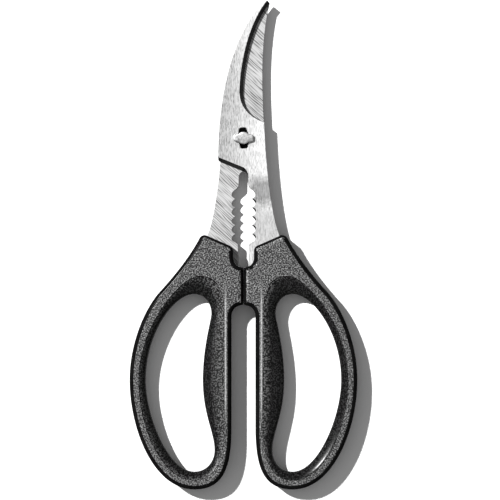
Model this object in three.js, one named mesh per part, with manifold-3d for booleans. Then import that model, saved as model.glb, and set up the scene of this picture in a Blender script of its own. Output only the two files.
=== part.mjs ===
// Seafood scissors: two curved blades that cross on a bayonet pivot, with nutcracker jaws behind the pivot
// and a finger-loop handle moulded round each tang. Millimetres and degrees, +Z up.
// The scissors lie closed on their backs. The pivot axis is the Z axis, the blade tips point to +Y, and
// Z = 0 is the plane that the handles and the pivot's button rest on.
// Each half is drawn with its handle at +X. The back half is then turned over about the Y axis.

import * as THREE from "three";
import { mergeVertices } from "three/addons/utils/BufferGeometryUtils.js";
import Module from "manifold-3d";

// Thicknesses and clearances
const HANDLE_THICKNESS = 10;
const BLADE_THICKNESS = 2.5;
const BLADE_GAP = 0.1; // between the blades, and between the front blade and the lug
const RUNNING_CLEARANCE = 0.1; // radial, of the stud's neck in the front blade
const LUG_CLEARANCE = 0.2; // round the lug's wings as they pass the slot
const RIVET_CLEARANCE = 0.05; // of the stud in the back blade and the button
const TANG_CLEARANCE = 0.1; // of a tang in its handle

// Pivot
const RELEASE_ANGLE = 86; // opening at which the lug lines up with the slot
const NECK_DIAMETER = 5;
const LUG_LENGTH = 8.2;
const LUG_ROOT_WIDTH = 3.6;
const LUG_END_WIDTH = 2.8;
const LUG_HEIGHT = 1.2;
const LUG_CORNER = 0.9; // radius of the wings' corners, seen from above
const LUG_ROUNDING = 0.5;
const SHANK_SIDE = 3.4;
const TAIL_DIAMETER = 3.2;
const BUTTON_DIAMETER = 9.4;
const BUTTON_CHAMFER = 0.6;

// Blades above the pivot
const TIP_HEIGHT = 56.1;
const TIP_OFFSET = 10.15; // how far the tips curve to one side of the pivot
const TIP_WIDTH = 1.8;
const TIP_SLANT = 43; // of the squared-off end, down from X
const EDGE_OFFSET = -0.2; // X at which the front blade's cutting edge starts
const EDGE_START = 18.5; // height at which the heel's curve ends and the cutting edge starts
const EDGE_OVERLAP = 2.6; // of the two cutting edges when closed
const HEEL_HEIGHT = 6.5;
const HEEL_HALF_WIDTH = 8.55;
const HEEL_LEAN = 64; // of the heel's hollow where it leaves the heel, from Y
const BEVEL_WIDTH = 1.3;
const BEVEL_LAND = 0.3; // height of the upright land under the bevel
const SPINE_DROP = 5; // below the pivot, where the spine's curve starts
const FRONT_SPINE_OFFSET = 10.4;
const BACK_SPINE_OFFSET = 9.15;

// Jaws below the pivot
const SHOULDER_DROP = 9.4;
const SHOULDER_CORNER = 1.2;
const THROAT_DROP = 14.4;
const THROAT_WIDTH = 3.8;
const THROAT_CORNER = 2;
const THROAT_LENGTH = 4.6;
const FLARE_LENGTH = 4.4;
const JAW_GAP = 6.6; // between facing tooth tips
const TOOTH_COUNT = 5;
const TOOTH_PITCH = 3.6;
const TOOTH_DEPTH = 1.5;
const TOOTH_LEAN = 0.42; // share of a pitch from a hollow down to the tip below it
const STRIP_GAP = 4.4; // between the plain strips below the teeth
const STRIP_DROP = 2.6; // from the last hollow to the strips
const JAW_FOOT_HALF_WIDTH = 13.7;
const JAW_FOOT_RISE = 8; // above the handle's inner top corner
const JAW_FOOT_LEAN = 16; // of the jaw's outer side at the handle, from Y
const JAW_TOP_LEAN = 2; // of the same side at the heel

// Handles below the jaws
const HANDLE_DROP = 3.3; // from the last hollow to the handle's inner top corner
const HANDLE_TOP_HALF_WIDTH = 17;
const HANDLE_TOP_SLOPE = 23.6;
const HANDLE_ROUNDING = 1.2;
const HANDLE_CORNER = 0.05; // setback of the outline's corners, beyond what the rounded edge takes up
const NOTCH_WIDTH = 8.5;
const NOTCH_DEPTH = 8.6;
const CONTACT_LENGTH = 15;
const CONTACT_GAP = 0.3; // between the two handles' contact faces
const BAR_GAP = 9.8; // between the two inner bars
const LOOP_HALF_WIDTH = 46.7;
const WAIST_HALF_WIDTH = 34.35; // where the outline swings out to the loop
const WAIST_DROP = 9.8; // below the notch
const WAIST_LEAN = 43;
const NECK_HOLLOW = 1.15; // how far the outline draws in between its top corner and the waist

// Finger holes
const HOLE_DROP = 10.7; // below the notch
const HOLE_LENGTH = 73;
const HOLE_CROWN = 20.2; // X of the hole's top and bottom
const HOLE_WIDEST = 35.3; // below the hole's top
const OUTER_BAR = 6.6;
const BOTTOM_BAR = 7.1;
const INNER_BAR_TOP = 8.3;
const INNER_BAR_TOP_DROP = 8; // below the hole's top
const INNER_BAR_BULGE = 11.8;
const INNER_BAR_FOOT = 7;
const INNER_BAR_FOOT_RISE = 9; // above the hole's bottom

// Dish round each finger hole
const DISH_DEPTH = 3.6;
const DISH_LEAD = 30; // how steeply the dish leaves the face, on its rounded section
const DISH_RISE = 7.5; // above the hole's top
const DISH_CROWN = 18.4;
const DISH_UPPER_TURN = 15.5; // height of the dish's upper inner corner
const DISH_LOWER_TURN = 22;
const OUTER_RIM = 3.7;
const BOTTOM_RIM = 3.8;
const INNER_RIM = 2.9;

// Tangs inside the handles
const TANG_LENGTH = 33.3; // below the handle's inner top corner
const TANG_TAPER = 16.3; // of that length, from the corner to the narrow end
const TANG_WIDTH = 4.6;
const TANG_WALL = 1.7; // plastic between the tang and the inner bar's inner face
const TANG_SHOULDER_HALF_WIDTH = 15.9;
const TANG_SHOULDER_RISE = 1.7;
const TANG_HOLE_DIAMETER = 4;
const TANG_HOLE_X = 7.5;
const TANG_HOLE_DROPS = [5, 12.5];

// Smoothness
const CURVE_STEPS = 8;
const ROUND_STEPS = 32;
const ROUNDING_STEPS = 2;
const DISH_STEPS = 4;
const HOLE_STEPS = 16; // points on each quarter of a finger hole
const BEVEL_STEPS = 24;
const CUT_MARGIN = 1; // how far a cutter runs past the face that it cuts
const MERGE_DISTANCE = 1e-4;

// Heights: blades are measured from the middle of the handles, the pivot's pieces from the resting plane
const halfThickness = HANDLE_THICKNESS / 2;
const bladeBase = BLADE_GAP / 2;
const bladeTop = bladeBase + BLADE_THICKNESS;
const buttonTop = halfThickness - bladeTop - RIVET_CLEARANCE;
const neckBase = halfThickness - bladeBase + RIVET_CLEARANCE;
const lugBase = halfThickness + bladeTop + BLADE_GAP;

// Places that several outlines share
const flareY = -THROAT_DROP - THROAT_LENGTH;
const firstHollow = flareY - FLARE_LENGTH;
const lastHollow = firstHollow - TOOTH_COUNT * TOOTH_PITCH;
const handleTop = lastHollow - HANDLE_DROP;
const notchFloor = handleTop - NOTCH_DEPTH;
const archCrown = notchFloor - CONTACT_LENGTH;
const holeTop = notchFloor - HOLE_DROP;
const holeBottom = holeTop - HOLE_LENGTH;
const widestY = holeTop - HOLE_WIDEST;
const loopBottom = holeBottom - BOTTOM_BAR;
const barX = BAR_GAP / 2;
const outlineCorner = Math.SQRT2 * HANDLE_ROUNDING + HANDLE_CORNER;

const finish = (color, roughness, metalness) =>
  new THREE.MeshStandardMaterial({ color, roughness, metalness, flatShading: true });
const steel = finish(0xc9cbcc, 0.34, 1);
const polish = finish(0xd8dadb, 0.12, 1);
const plastic = finish(0x232425, 0.55, 0);

const wasm = await Module();
wasm.setup();

const at = (x, y) => new THREE.Vector2(x, y);

// A closed geometry as a solid that can be joined and cut
function solidOf(geometry) {
  const bare = geometry.clone();
  bare.deleteAttribute("normal");
  bare.deleteAttribute("uv");
  const merged = mergeVertices(bare, MERGE_DISTANCE);
  return new wasm.Manifold(
    new wasm.Mesh({
      numProp: 3,
      vertProperties: merged.attributes.position.array,
      triVerts: new Uint32Array(merged.index.array),
    }),
  );
}

function piece(name, solid, material) {
  const { vertProperties, triVerts } = solid.getMesh();
  const geometry = new THREE.BufferGeometry()
    .setAttribute("position", new THREE.BufferAttribute(vertProperties, 3))
    .setIndex(new THREE.BufferAttribute(triVerts, 1));
  const mesh = new THREE.Mesh(geometry, material);
  mesh.name = name;
  return mesh;
}

// A plate with the shape's outline, from one height to another
function plate(shape, low, high) {
  const settings = { depth: high - low, bevelEnabled: false, curveSegments: CURVE_STEPS };
  return solidOf(new THREE.ExtrudeGeometry(shape, settings).translate(0, 0, low));
}

// A plate whose edges are rounded on both faces, inside the shape's outline
function roundedPlate(shape, low, high, rounding) {
  const settings = {
    depth: high - low - 2 * rounding,
    bevelThickness: rounding,
    bevelSize: rounding,
    bevelOffset: -rounding,
    bevelSegments: ROUNDING_STEPS,
    curveSegments: CURVE_STEPS,
  };
  return solidOf(new THREE.ExtrudeGeometry(shape, settings).translate(0, 0, low + rounding));
}

function cylinder(diameter, low, high, x = 0, y = 0) {
  const round = new THREE.CylinderGeometry(diameter / 2, diameter / 2, high - low, ROUND_STEPS);
  return solidOf(round.rotateX(Math.PI / 2).translate(x, y, (low + high) / 2));
}

function squareBar(side, low, high) {
  return solidOf(new THREE.BoxGeometry(side, side, high - low).translate(0, 0, (low + high) / 2));
}

// A closed solid through rings of points that run counter-clockwise, seen from the last ring's side
function loft(rings) {
  const size = rings[0].length;
  const points = rings.flat();
  const triangles = [];
  for (let level = 0; level < rings.length - 1; level++) {
    for (let i = 0; i < size; i++) {
      const a = level * size + i;
      const b = level * size + ((i + 1) % size);
      triangles.push(a, b, b + size, a, b + size, a + size);
    }
  }
  const last = points.length - size;
  for (let i = 1; i < size - 1; i++) {
    triangles.push(0, i + 1, i, last, last + i, last + i + 1);
  }
  return solidOf(new THREE.BufferGeometry().setFromPoints(points).setIndex(triangles));
}

// A cubic from the path's end to (x, y). It leaves and arrives along the named axes, and its pulls are shares
// of the way along them.
function sweepTo(path, x, y, leaves, arrives, pulls) {
  const { x: x0, y: y0 } = path.currentPoint;
  const [dx, dy] = [x - x0, y - y0];
  const out = leaves === "x" ? [x0 + pulls[0] * dx, y0] : [x0, y0 + pulls[0] * dy];
  const back = arrives === "x" ? [x - pulls[1] * dx, y] : [x, y - pulls[1] * dy];
  path.bezierCurveTo(...out, ...back, x, y);
}

// A cubic from the path's end to a point. Its directions lean from +Y towards +X, in degrees, and its pulls
// are shares of the straight distance.
function leanTo(path, end, leans, pulls) {
  const start = path.currentPoint.clone();
  const reach = start.distanceTo(end);
  const [out, back] = leans.map(THREE.MathUtils.degToRad).map((lean) => at(Math.sin(lean), Math.cos(lean)));
  const first = start.clone().addScaledVector(out, pulls[0] * reach);
  const second = end.clone().addScaledVector(back, -pulls[1] * reach);
  path.bezierCurveTo(first.x, first.y, second.x, second.y, end.x, end.y);
}

// A rounded corner that starts on the side towards one point and ends on the side towards another
function cornerAt(path, corner, before, after, setback) {
  const start = before.clone().sub(corner).setLength(setback).add(corner);
  const end = after.clone().sub(corner).setLength(setback).add(corner);
  path.lineTo(start.x, start.y);
  path.quadraticCurveTo(corner.x, corner.y, end.x, end.y);
}

// The lug's outline: a round boss with two tapered wings along X, rounded at their corners
function lugShape(halfLength, halfRoot, halfEnd, boss) {
  const root = Math.asin(halfRoot / boss);
  const rootX = boss * Math.cos(root);
  const [cornerX, cornerY] = [halfLength - LUG_CORNER, halfEnd - LUG_CORNER];
  const shape = new THREE.Shape();
  shape.moveTo(rootX, -halfRoot);
  for (const side of [1, -1]) {
    const turn = side > 0 ? 0 : Math.PI;
    shape.lineTo(side * cornerX, -side * halfEnd);
    shape.absarc(side * cornerX, -side * cornerY, LUG_CORNER, turn - Math.PI / 2, turn, false);
    shape.absarc(side * cornerX, side * cornerY, LUG_CORNER, turn, turn + Math.PI / 2, false);
    shape.lineTo(side * rootX, side * halfRoot);
    shape.absarc(0, 0, boss, turn + root, turn + Math.PI - root, false);
  }
  return shape;
}

// The tang's corners, moved out by a clearance: down the outer side from the jaw's foot, and back up the
// inner side
function tangCorners(clearance) {
  const innerX = barX + TANG_WALL - clearance;
  const outerX = barX + TANG_WALL + TANG_WIDTH + clearance;
  const stripX = STRIP_GAP / 2 - clearance;
  const endY = handleTop - TANG_LENGTH - clearance;
  return {
    outer: [
      at(JAW_FOOT_HALF_WIDTH + clearance, handleTop + JAW_FOOT_RISE),
      at(TANG_SHOULDER_HALF_WIDTH + clearance, handleTop + TANG_SHOULDER_RISE),
      at(outerX, handleTop - TANG_TAPER),
      at(outerX, endY),
    ],
    inner: [at(innerX, endY), at(innerX, archCrown - TANG_WALL), at(stripX, (notchFloor + archCrown) / 2)],
  };
}

const tangHoles = (diameter, low, high) =>
  TANG_HOLE_DROPS.map((drop) => cylinder(diameter, low, high, TANG_HOLE_X, handleTop - drop));

// The two blades differ above the pivot. Each has its spine at -X and its cutting edge at +X, and the tips
// curve to the side that is given.
const tipHalf = at(TIP_WIDTH / 2, 0).rotateAround(at(0, 0), -THREE.MathUtils.degToRad(TIP_SLANT));
const tipCorner = (side, end) => at(side * (TIP_OFFSET + end * tipHalf.x), TIP_HEIGHT + end * tipHalf.y);
const frontBlade = {
  spineX: -FRONT_SPINE_OFFSET,
  spineTip: tipCorner(1, -1),
  spineLeans: [1, 49],
  spinePulls: [0.36, 0.28],
  edgeX: EDGE_OFFSET,
  edgeTip: tipCorner(1, 1),
  edgeLeans: [0, 40],
  edgePulls: [0.3, 0.29],
};
const backBlade = {
  spineX: -BACK_SPINE_OFFSET,
  spineTip: tipCorner(-1, 1),
  spineLeans: [3.5, -13],
  spinePulls: [0.33, 0.33],
  edgeX: EDGE_OVERLAP - EDGE_OFFSET,
  edgeTip: tipCorner(-1, -1),
  edgeLeans: [0, -42],
  edgePulls: [0.3, 0.3],
};

// The heel's hollow and the cutting edge, from the heel to the tip
function cutEdge(path, profile) {
  leanTo(path, at(profile.edgeX, EDGE_START), [-HEEL_LEAN, 0], [0.34, 0.44]);
  leanTo(path, profile.edgeTip, profile.edgeLeans, profile.edgePulls);
}

// The inner side of a jaw, from the first hollow down to the strip
function jawTeeth(path) {
  const tipX = JAW_GAP / 2;
  const hollowX = tipX + TOOTH_DEPTH;
  for (let tooth = 0; tooth < TOOTH_COUNT; tooth++) {
    const hollow = firstHollow - tooth * TOOTH_PITCH;
    const tip = hollow - TOOTH_LEAN * TOOTH_PITCH;
    const next = hollow - TOOTH_PITCH;
    path.quadraticCurveTo(hollowX, (hollow + tip) / 2, tipX, tip);
    path.quadraticCurveTo(hollowX, (tip + next) / 2, hollowX, next);
  }
  sweepTo(path, STRIP_GAP / 2, lastHollow - STRIP_DROP, "y", "y", [0.5, 0.5]);
}

// A blade's outline, up the outer side from the tang, over the tip and down the spine and the jaw
function bladeShape(profile) {
  const tang = tangCorners(0);
  const heel = at(HEEL_HALF_WIDTH, HEEL_HEIGHT);
  const spineFoot = at(profile.spineX, -SPINE_DROP);
  const shoulder = at(profile.spineX, -SHOULDER_DROP);
  const throatTop = at(THROAT_WIDTH / 2, -THROAT_DROP);
  const throatFoot = at(THROAT_WIDTH / 2, flareY);
  const shape = new THREE.Shape([...tang.outer].reverse());
  leanTo(shape, heel, [-JAW_FOOT_LEAN, -JAW_TOP_LEAN], [0.2, 0.42]);
  cutEdge(shape, profile);
  shape.lineTo(profile.spineTip.x, profile.spineTip.y);
  const downLeans = profile.spineLeans.map((lean) => lean + 180).reverse();
  leanTo(shape, spineFoot, downLeans, [...profile.spinePulls].reverse());
  cornerAt(shape, shoulder, spineFoot, throatTop, SHOULDER_CORNER);
  cornerAt(shape, throatTop, shoulder, throatFoot, THROAT_CORNER);
  shape.lineTo(throatFoot.x, throatFoot.y);
  sweepTo(shape, JAW_GAP / 2 + TOOTH_DEPTH, firstHollow, "y", "y", [0.5, 0.5]);
  jawTeeth(shape);
  for (const corner of [...tang.inner].reverse()) shape.lineTo(corner.x, corner.y);
  return shape;
}

// The wedge that grinds the cutting edge on a blade's outer face. It deepens along the heel and runs past
// the tip.
function bevelCutter(profile) {
  const path = new THREE.Path();
  path.moveTo(HEEL_HALF_WIDTH, HEEL_HEIGHT);
  cutEdge(path, profile);
  const points = path.getSpacedPoints(BEVEL_STEPS);
  points.push(points.at(-1).clone().multiplyScalar(2).sub(points.at(-2)));
  const heelShare = path.curves[0].getLength() / path.getLength();
  const rise = BLADE_THICKNESS - BEVEL_LAND;
  const rings = points.map((point, i) => {
    const [before, after] = [points[Math.max(i - 1, 0)], points[Math.min(i + 1, points.length - 1)]];
    const outward = after.clone().sub(before).normalize().rotateAround(at(0, 0), -Math.PI / 2);
    const width = BEVEL_WIDTH * Math.min(1, (i + 1) / (heelShare * BEVEL_STEPS));
    const margin = (CUT_MARGIN * width) / rise;
    const corner = (reach, height) =>
      new THREE.Vector3(point.x + reach * outward.x, point.y + reach * outward.y, height);
    return [
      corner(margin, bladeTop - rise - CUT_MARGIN),
      corner(-width - margin, bladeTop + CUT_MARGIN),
      corner(margin + CUT_MARGIN, bladeTop + CUT_MARGIN),
    ];
  });
  return loft(rings);
}

function blade(profile) {
  const holes = tangHoles(TANG_HOLE_DIAMETER, bladeBase - CUT_MARGIN, bladeTop + CUT_MARGIN);
  const blank = plate(bladeShape(profile), bladeBase, bladeTop);
  return [bevelCutter(profile), ...holes].reduce((solid, cut) => solid.subtract(cut), blank);
}

// The keyhole slot in the front blade, which the lug passes at the release angle
function keyholeSlot() {
  const slot = lugShape(
    LUG_LENGTH / 2 + LUG_CLEARANCE,
    LUG_ROOT_WIDTH / 2 + LUG_CLEARANCE,
    LUG_END_WIDTH / 2 + LUG_CLEARANCE,
    NECK_DIAMETER / 2 + RUNNING_CLEARANCE,
  );
  return plate(slot, bladeBase - CUT_MARGIN, bladeTop + CUT_MARGIN).rotate([0, 0, 180 - RELEASE_ANGLE]);
}

function shankHole() {
  return squareBar(SHANK_SIDE + 2 * RIVET_CLEARANCE, bladeBase - CUT_MARGIN, bladeTop + CUT_MARGIN);
}

function pivotStud() {
  const lug = lugShape(LUG_LENGTH / 2, LUG_ROOT_WIDTH / 2, LUG_END_WIDTH / 2, NECK_DIAMETER / 2);
  return roundedPlate(lug, lugBase, lugBase + LUG_HEIGHT, LUG_ROUNDING)
    .add(cylinder(NECK_DIAMETER, neckBase, lugBase + LUG_HEIGHT / 2))
    .add(squareBar(SHANK_SIDE, buttonTop + RIVET_CLEARANCE, lugBase))
    .add(cylinder(TAIL_DIAMETER, 0, neckBase));
}

// The button under the back blade. The stud's tail ends flush with its face.
function rivetButton() {
  const rim = BUTTON_DIAMETER / 2;
  const bore = TAIL_DIAMETER / 2 + RIVET_CLEARANCE;
  const profile = [
    at(bore, 0),
    at(rim - BUTTON_CHAMFER, 0),
    at(rim, BUTTON_CHAMFER),
    at(rim, buttonTop),
    at(bore, buttonTop),
    at(bore, 0),
  ];
  return solidOf(new THREE.LatheGeometry(profile, ROUND_STEPS).rotateX(Math.PI / 2));
}

// Where a rounded corner between an arc about the centre line and the contact face meets them: the angle on
// the arc, and how far the arc's tangent moves in Y before it reaches the contact face
function contactCorner(radius) {
  const contactX = CONTACT_GAP / 2;
  const turnX = contactX + outlineCorner;
  return {
    contactX,
    angle: Math.acos(turnX / radius),
    turnY: Math.sqrt(radius ** 2 - turnX ** 2),
    shift: (turnX * outlineCorner) / Math.sqrt(radius ** 2 - turnX ** 2),
  };
}

// A handle's outline, down the notch and the inner bar, round the loop and back along the top
function handleShape() {
  const notchX = NOTCH_WIDTH / 2;
  const notchCentre = notchFloor + notchX;
  const archCentre = archCrown - barX;
  const innerCorner = at(notchX, handleTop);
  const slope = Math.tan(THREE.MathUtils.degToRad(HANDLE_TOP_SLOPE));
  const topCorner = at(HANDLE_TOP_HALF_WIDTH, handleTop + (HANDLE_TOP_HALF_WIDTH - notchX) * slope);
  const waist = at(WAIST_HALF_WIDTH, notchFloor - WAIST_DROP);
  const hollow = topCorner.clone().lerp(waist, 0.5).sub(at(2 * NECK_HOLLOW, 0));
  const shape = new THREE.Shape();

  shape.moveTo(notchX, notchCentre);
  const notch = contactCorner(notchX);
  const notchTurn = notchCentre - notch.turnY - notch.shift;
  shape.absarc(0, notchCentre, notchX, 0, -notch.angle, true);
  shape.quadraticCurveTo(notch.contactX, notchTurn, notch.contactX, notchTurn - outlineCorner);
  const arch = contactCorner(barX);
  const archTurn = archCentre + arch.turnY + arch.shift;
  shape.lineTo(arch.contactX, archTurn + outlineCorner);
  shape.quadraticCurveTo(arch.contactX, archTurn, arch.contactX + outlineCorner, archCentre + arch.turnY);
  shape.absarc(0, archCentre, barX, arch.angle, 0, true);

  shape.lineTo(barX, holeBottom + 2 * INNER_BAR_FOOT_RISE);
  sweepTo(shape, HOLE_CROWN, loopBottom, "y", "x", [0.65, 0.78]);
  sweepTo(shape, LOOP_HALF_WIDTH, widestY, "x", "y", [0.63, 0.445]);
  leanTo(shape, waist, [0, -WAIST_LEAN], [0.445, 0.185]);
  const neckEnd = hollow.clone().sub(topCorner).setLength(outlineCorner).add(topCorner);
  shape.quadraticCurveTo(hollow.x, hollow.y, neckEnd.x, neckEnd.y);
  cornerAt(shape, topCorner, hollow, innerCorner, outlineCorner);
  cornerAt(shape, innerCorner, topCorner, at(notchX, notchCentre), outlineCorner);
  return shape;
}

// Evenly spaced points round a loop of quarters that are drawn one after the other
function ringOf(start, quarters) {
  let corner = start;
  return quarters.flatMap((draw) => {
    const path = new THREE.Path();
    path.moveTo(corner.x, corner.y);
    draw(path);
    corner = path.currentPoint.clone();
    return path.getSpacedPoints(HOLE_STEPS).slice(0, -1);
  });
}

// The finger hole, from its top round the inner bar, the bottom and the outer bar
function fingerHole() {
  return ringOf(at(HOLE_CROWN, holeTop), [
    (path) => {
      sweepTo(path, barX + INNER_BAR_TOP, holeTop - INNER_BAR_TOP_DROP, "x", "y", [0.64, 0.5]);
      sweepTo(path, barX + INNER_BAR_BULGE, widestY, "y", "y", [0.1, 0.52]);
    },
    (path) => {
      sweepTo(path, barX + INNER_BAR_FOOT, holeBottom + INNER_BAR_FOOT_RISE, "y", "y", [0.5, 0.25]);
      sweepTo(path, HOLE_CROWN, holeBottom, "y", "x", [0.55, 0.6]);
    },
    (path) => sweepTo(path, LOOP_HALF_WIDTH - OUTER_BAR, widestY, "x", "y", [0.525, 0.4]),
    (path) => sweepTo(path, HOLE_CROWN, holeTop, "y", "x", [0.55, 0.41]),
  ]);
}

// The dish's rim, in the same quarters
function dishRim() {
  const dishTop = holeTop + DISH_RISE;
  const dishBottom = loopBottom + BOTTOM_RIM;
  const innerX = barX + INNER_RIM;
  return ringOf(at(DISH_CROWN, dishTop), [
    (path) => {
      sweepTo(path, innerX, dishTop - DISH_UPPER_TURN, "x", "y", [0.79, 0.645]);
      path.lineTo(innerX, widestY);
    },
    (path) => {
      path.lineTo(innerX, dishBottom + DISH_LOWER_TURN);
      sweepTo(path, HOLE_CROWN, dishBottom, "y", "x", [0.6, 0.7]);
    },
    (path) => sweepTo(path, LOOP_HALF_WIDTH - OUTER_RIM, widestY, "x", "y", [0.6, 0.45]),
    (path) => sweepTo(path, DISH_CROWN, dishTop, "y", "x", [0.54, 0.27]),
  ]);
}

// The finger hole with a dish on both faces, as one cutter. The dish's section is part of an ellipse.
function fingerOpening() {
  const [rim, hole] = [dishRim(), fingerHole()];
  const ring = (share, height) =>
    rim.map((point, i) => {
      const { x, y } = point.clone().lerp(hole[i], share);
      return new THREE.Vector3(x, y, height);
    });
  const lead = THREE.MathUtils.degToRad(DISH_LEAD);
  const levels = Array.from({ length: DISH_STEPS + 1 }, (_, step) => {
    const angle = lead + (step / DISH_STEPS) * (Math.PI / 2 - lead);
    const share = (Math.sin(angle) - Math.sin(lead)) / (1 - Math.sin(lead));
    const depth = DISH_DEPTH * (1 - Math.cos(angle) / Math.cos(lead));
    return [share, halfThickness - depth];
  });
  return loft([
    ring(0, -halfThickness - CUT_MARGIN),
    ...levels.map(([share, height]) => ring(share, -height)),
    ...levels.reverse().map(([share, height]) => ring(share, height)),
    ring(0, halfThickness + CUT_MARGIN),
  ]);
}

// The pocket that the tang fills, with the posts of plastic that pass through the tang's holes left standing
function tangPocket() {
  const corners = tangCorners(TANG_CLEARANCE);
  const top = at(STRIP_GAP / 2 - TANG_CLEARANCE, corners.outer[0].y);
  const shape = new THREE.Shape([...corners.outer, ...corners.inner, top]);
  const [low, high] = [bladeBase - TANG_CLEARANCE, bladeTop + TANG_CLEARANCE];
  const posts = tangHoles(TANG_HOLE_DIAMETER - 2 * TANG_CLEARANCE, low - CUT_MARGIN, high + CUT_MARGIN);
  return posts.reduce((pocket, post) => pocket.subtract(post), plate(shape, low, high));
}

function handle() {
  return roundedPlate(handleShape(), -halfThickness, halfThickness, HANDLE_ROUNDING)
    .subtract(fingerOpening())
    .subtract(tangPocket());
}

const frontHalf = new THREE.Group();
frontHalf.position.z = halfThickness;
frontHalf.add(
  piece("front_blade", blade(frontBlade).subtract(keyholeSlot()), steel),
  piece("right_handle", handle(), plastic),
);

const backHalf = new THREE.Group();
backHalf.position.z = halfThickness;
backHalf.rotation.y = Math.PI;
backHalf.add(
  piece("back_blade", blade(backBlade).subtract(shankHole()), steel),
  piece("left_handle", handle(), plastic),
);

const scissors = new THREE.Group();
scissors.add(
  frontHalf,
  backHalf,
  piece("pivot_stud", pivotStud(), polish),
  piece("rivet_button", rivetButton(), polish),
);

export default scissors;
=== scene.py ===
from math import acos, asin, cos, pi, radians, sin, sqrt, tan

import bpy
from mathutils import Matrix, Vector
from mathutils.geometry import interpolate_bezier


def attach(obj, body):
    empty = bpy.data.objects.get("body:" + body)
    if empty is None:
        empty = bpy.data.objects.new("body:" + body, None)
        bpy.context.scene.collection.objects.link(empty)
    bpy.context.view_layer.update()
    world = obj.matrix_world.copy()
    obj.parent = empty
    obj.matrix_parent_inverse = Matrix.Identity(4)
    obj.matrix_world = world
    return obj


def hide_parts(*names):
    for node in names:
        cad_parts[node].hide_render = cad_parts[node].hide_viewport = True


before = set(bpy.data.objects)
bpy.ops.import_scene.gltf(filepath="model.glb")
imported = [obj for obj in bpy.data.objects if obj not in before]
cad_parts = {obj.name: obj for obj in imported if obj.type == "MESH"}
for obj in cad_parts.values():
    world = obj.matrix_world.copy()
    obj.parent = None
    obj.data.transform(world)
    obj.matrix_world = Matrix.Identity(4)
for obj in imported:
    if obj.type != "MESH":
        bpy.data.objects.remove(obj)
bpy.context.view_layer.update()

# Millimetres and degrees, measured as on the solids. Each half is drawn with its handle at +X and its heights
# counted from the middle of the handles, and the back half is then turned over.
MM = 0.001
HANDLE_THICKNESS = 10
HALF_THICKNESS = HANDLE_THICKNESS / 2
BLADE_THICKNESS = 2.5
BLADE_GAP = 0.1
BLADE_BASE = BLADE_GAP / 2
BLADE_TOP = BLADE_BASE + BLADE_THICKNESS
CUT_MARGIN = 1
TOLERANCE = 0.001  # within which points and heights count as the same

# Pivot
RELEASE_ANGLE = 86
NECK_DIAMETER = 5
LUG_LENGTH = 8.2
LUG_ROOT_WIDTH = 3.6
LUG_END_WIDTH = 2.8
LUG_HEIGHT = 1.2
LUG_CORNER = 0.9
LUG_BASE = HALF_THICKNESS + BLADE_TOP + BLADE_GAP
LUG_ROUNDING = 0.4
LUG_CROWN = ((0.15, 0.02), (0.15, 0.01))  # inset and rise of each step on its face
LUG_CLEARANCE = 0.2
NECK_CLEARANCE = 0.1
SHANK_SIDE = 3.4
SHANK_CLEARANCE = 0.05
TAIL_DIAMETER = 3.2
BUTTON_DIAMETER = 9.4
BUTTON_ROUNDING = 0.6
BUTTON_HEIGHT = HALF_THICKNESS - BLADE_TOP - SHANK_CLEARANCE

# Blades
TIP_HEIGHT = 56.1
TIP_OFFSET = 10.15
TIP_WIDTH = 1.8
TIP_SLANT = 43
EDGE_OFFSET = -0.2
EDGE_START = 18.5
EDGE_OVERLAP = 2.6
HEEL_HEIGHT = 6.5
HEEL_HALF_WIDTH = 8.55
HEEL_LEAN = 64
BEVEL_WIDTH = 1.3
BEVEL_LAND = 0.3
SHOULDER_BEVEL = 1.3
SPINE_DROP = 5
FRONT_SPINE_OFFSET = 10.4
BACK_SPINE_OFFSET = 9.15
BLADE_SOFTENING = 0.22

# Jaws
SHOULDER_DROP = 9.4
SHOULDER_CORNER = 0.7
THROAT_DROP = 14.4
THROAT_WIDTH = 3.8
THROAT_CORNER = 2
FLARE_Y = -THROAT_DROP - 4.6
FIRST_HOLLOW = FLARE_Y - 4.4
JAW_GAP = 6.6
TOOTH_COUNT = 5
TOOTH_PITCH = 3.6
TOOTH_DEPTH = 1.5
TOOTH_LEAN = 0.42
TOOTH_BEVEL = 0.5
LAST_HOLLOW = FIRST_HOLLOW - TOOTH_COUNT * TOOTH_PITCH
STRIP_GAP = 4.4
STRIP_DROP = 2.6
JAW_FOOT_HALF_WIDTH = 13.7
JAW_FOOT_RISE = 8
JAW_FOOT_LEAN = 16
JAW_TOP_LEAN = 2

# Handles
HANDLE_TOP = LAST_HOLLOW - 3.3
HANDLE_TOP_HALF_WIDTH = 17
HANDLE_TOP_SLOPE = 23.6
HANDLE_ROUNDING = 2
FACE_BORDER = 0.3  # narrow flat strip that keeps the handle's faces evenly lit
HANDLE_CORNER = HANDLE_ROUNDING + FACE_BORDER + 0.05
NOTCH_WIDTH = 8.5
NOTCH_FLOOR = HANDLE_TOP - 8.6
ARCH_CROWN = NOTCH_FLOOR - 15
CONTACT_GAP = 0.3
CONTACT_CORNER = 2.7  # a corner's plain length, which its rounded edge takes up
BAR_X = 4.9
LOOP_HALF_WIDTH = 46.7
WAIST = Vector((34.35, NOTCH_FLOOR - 9.8))
WAIST_LEAN = 43
NECK_HOLLOW = 1.15

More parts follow.
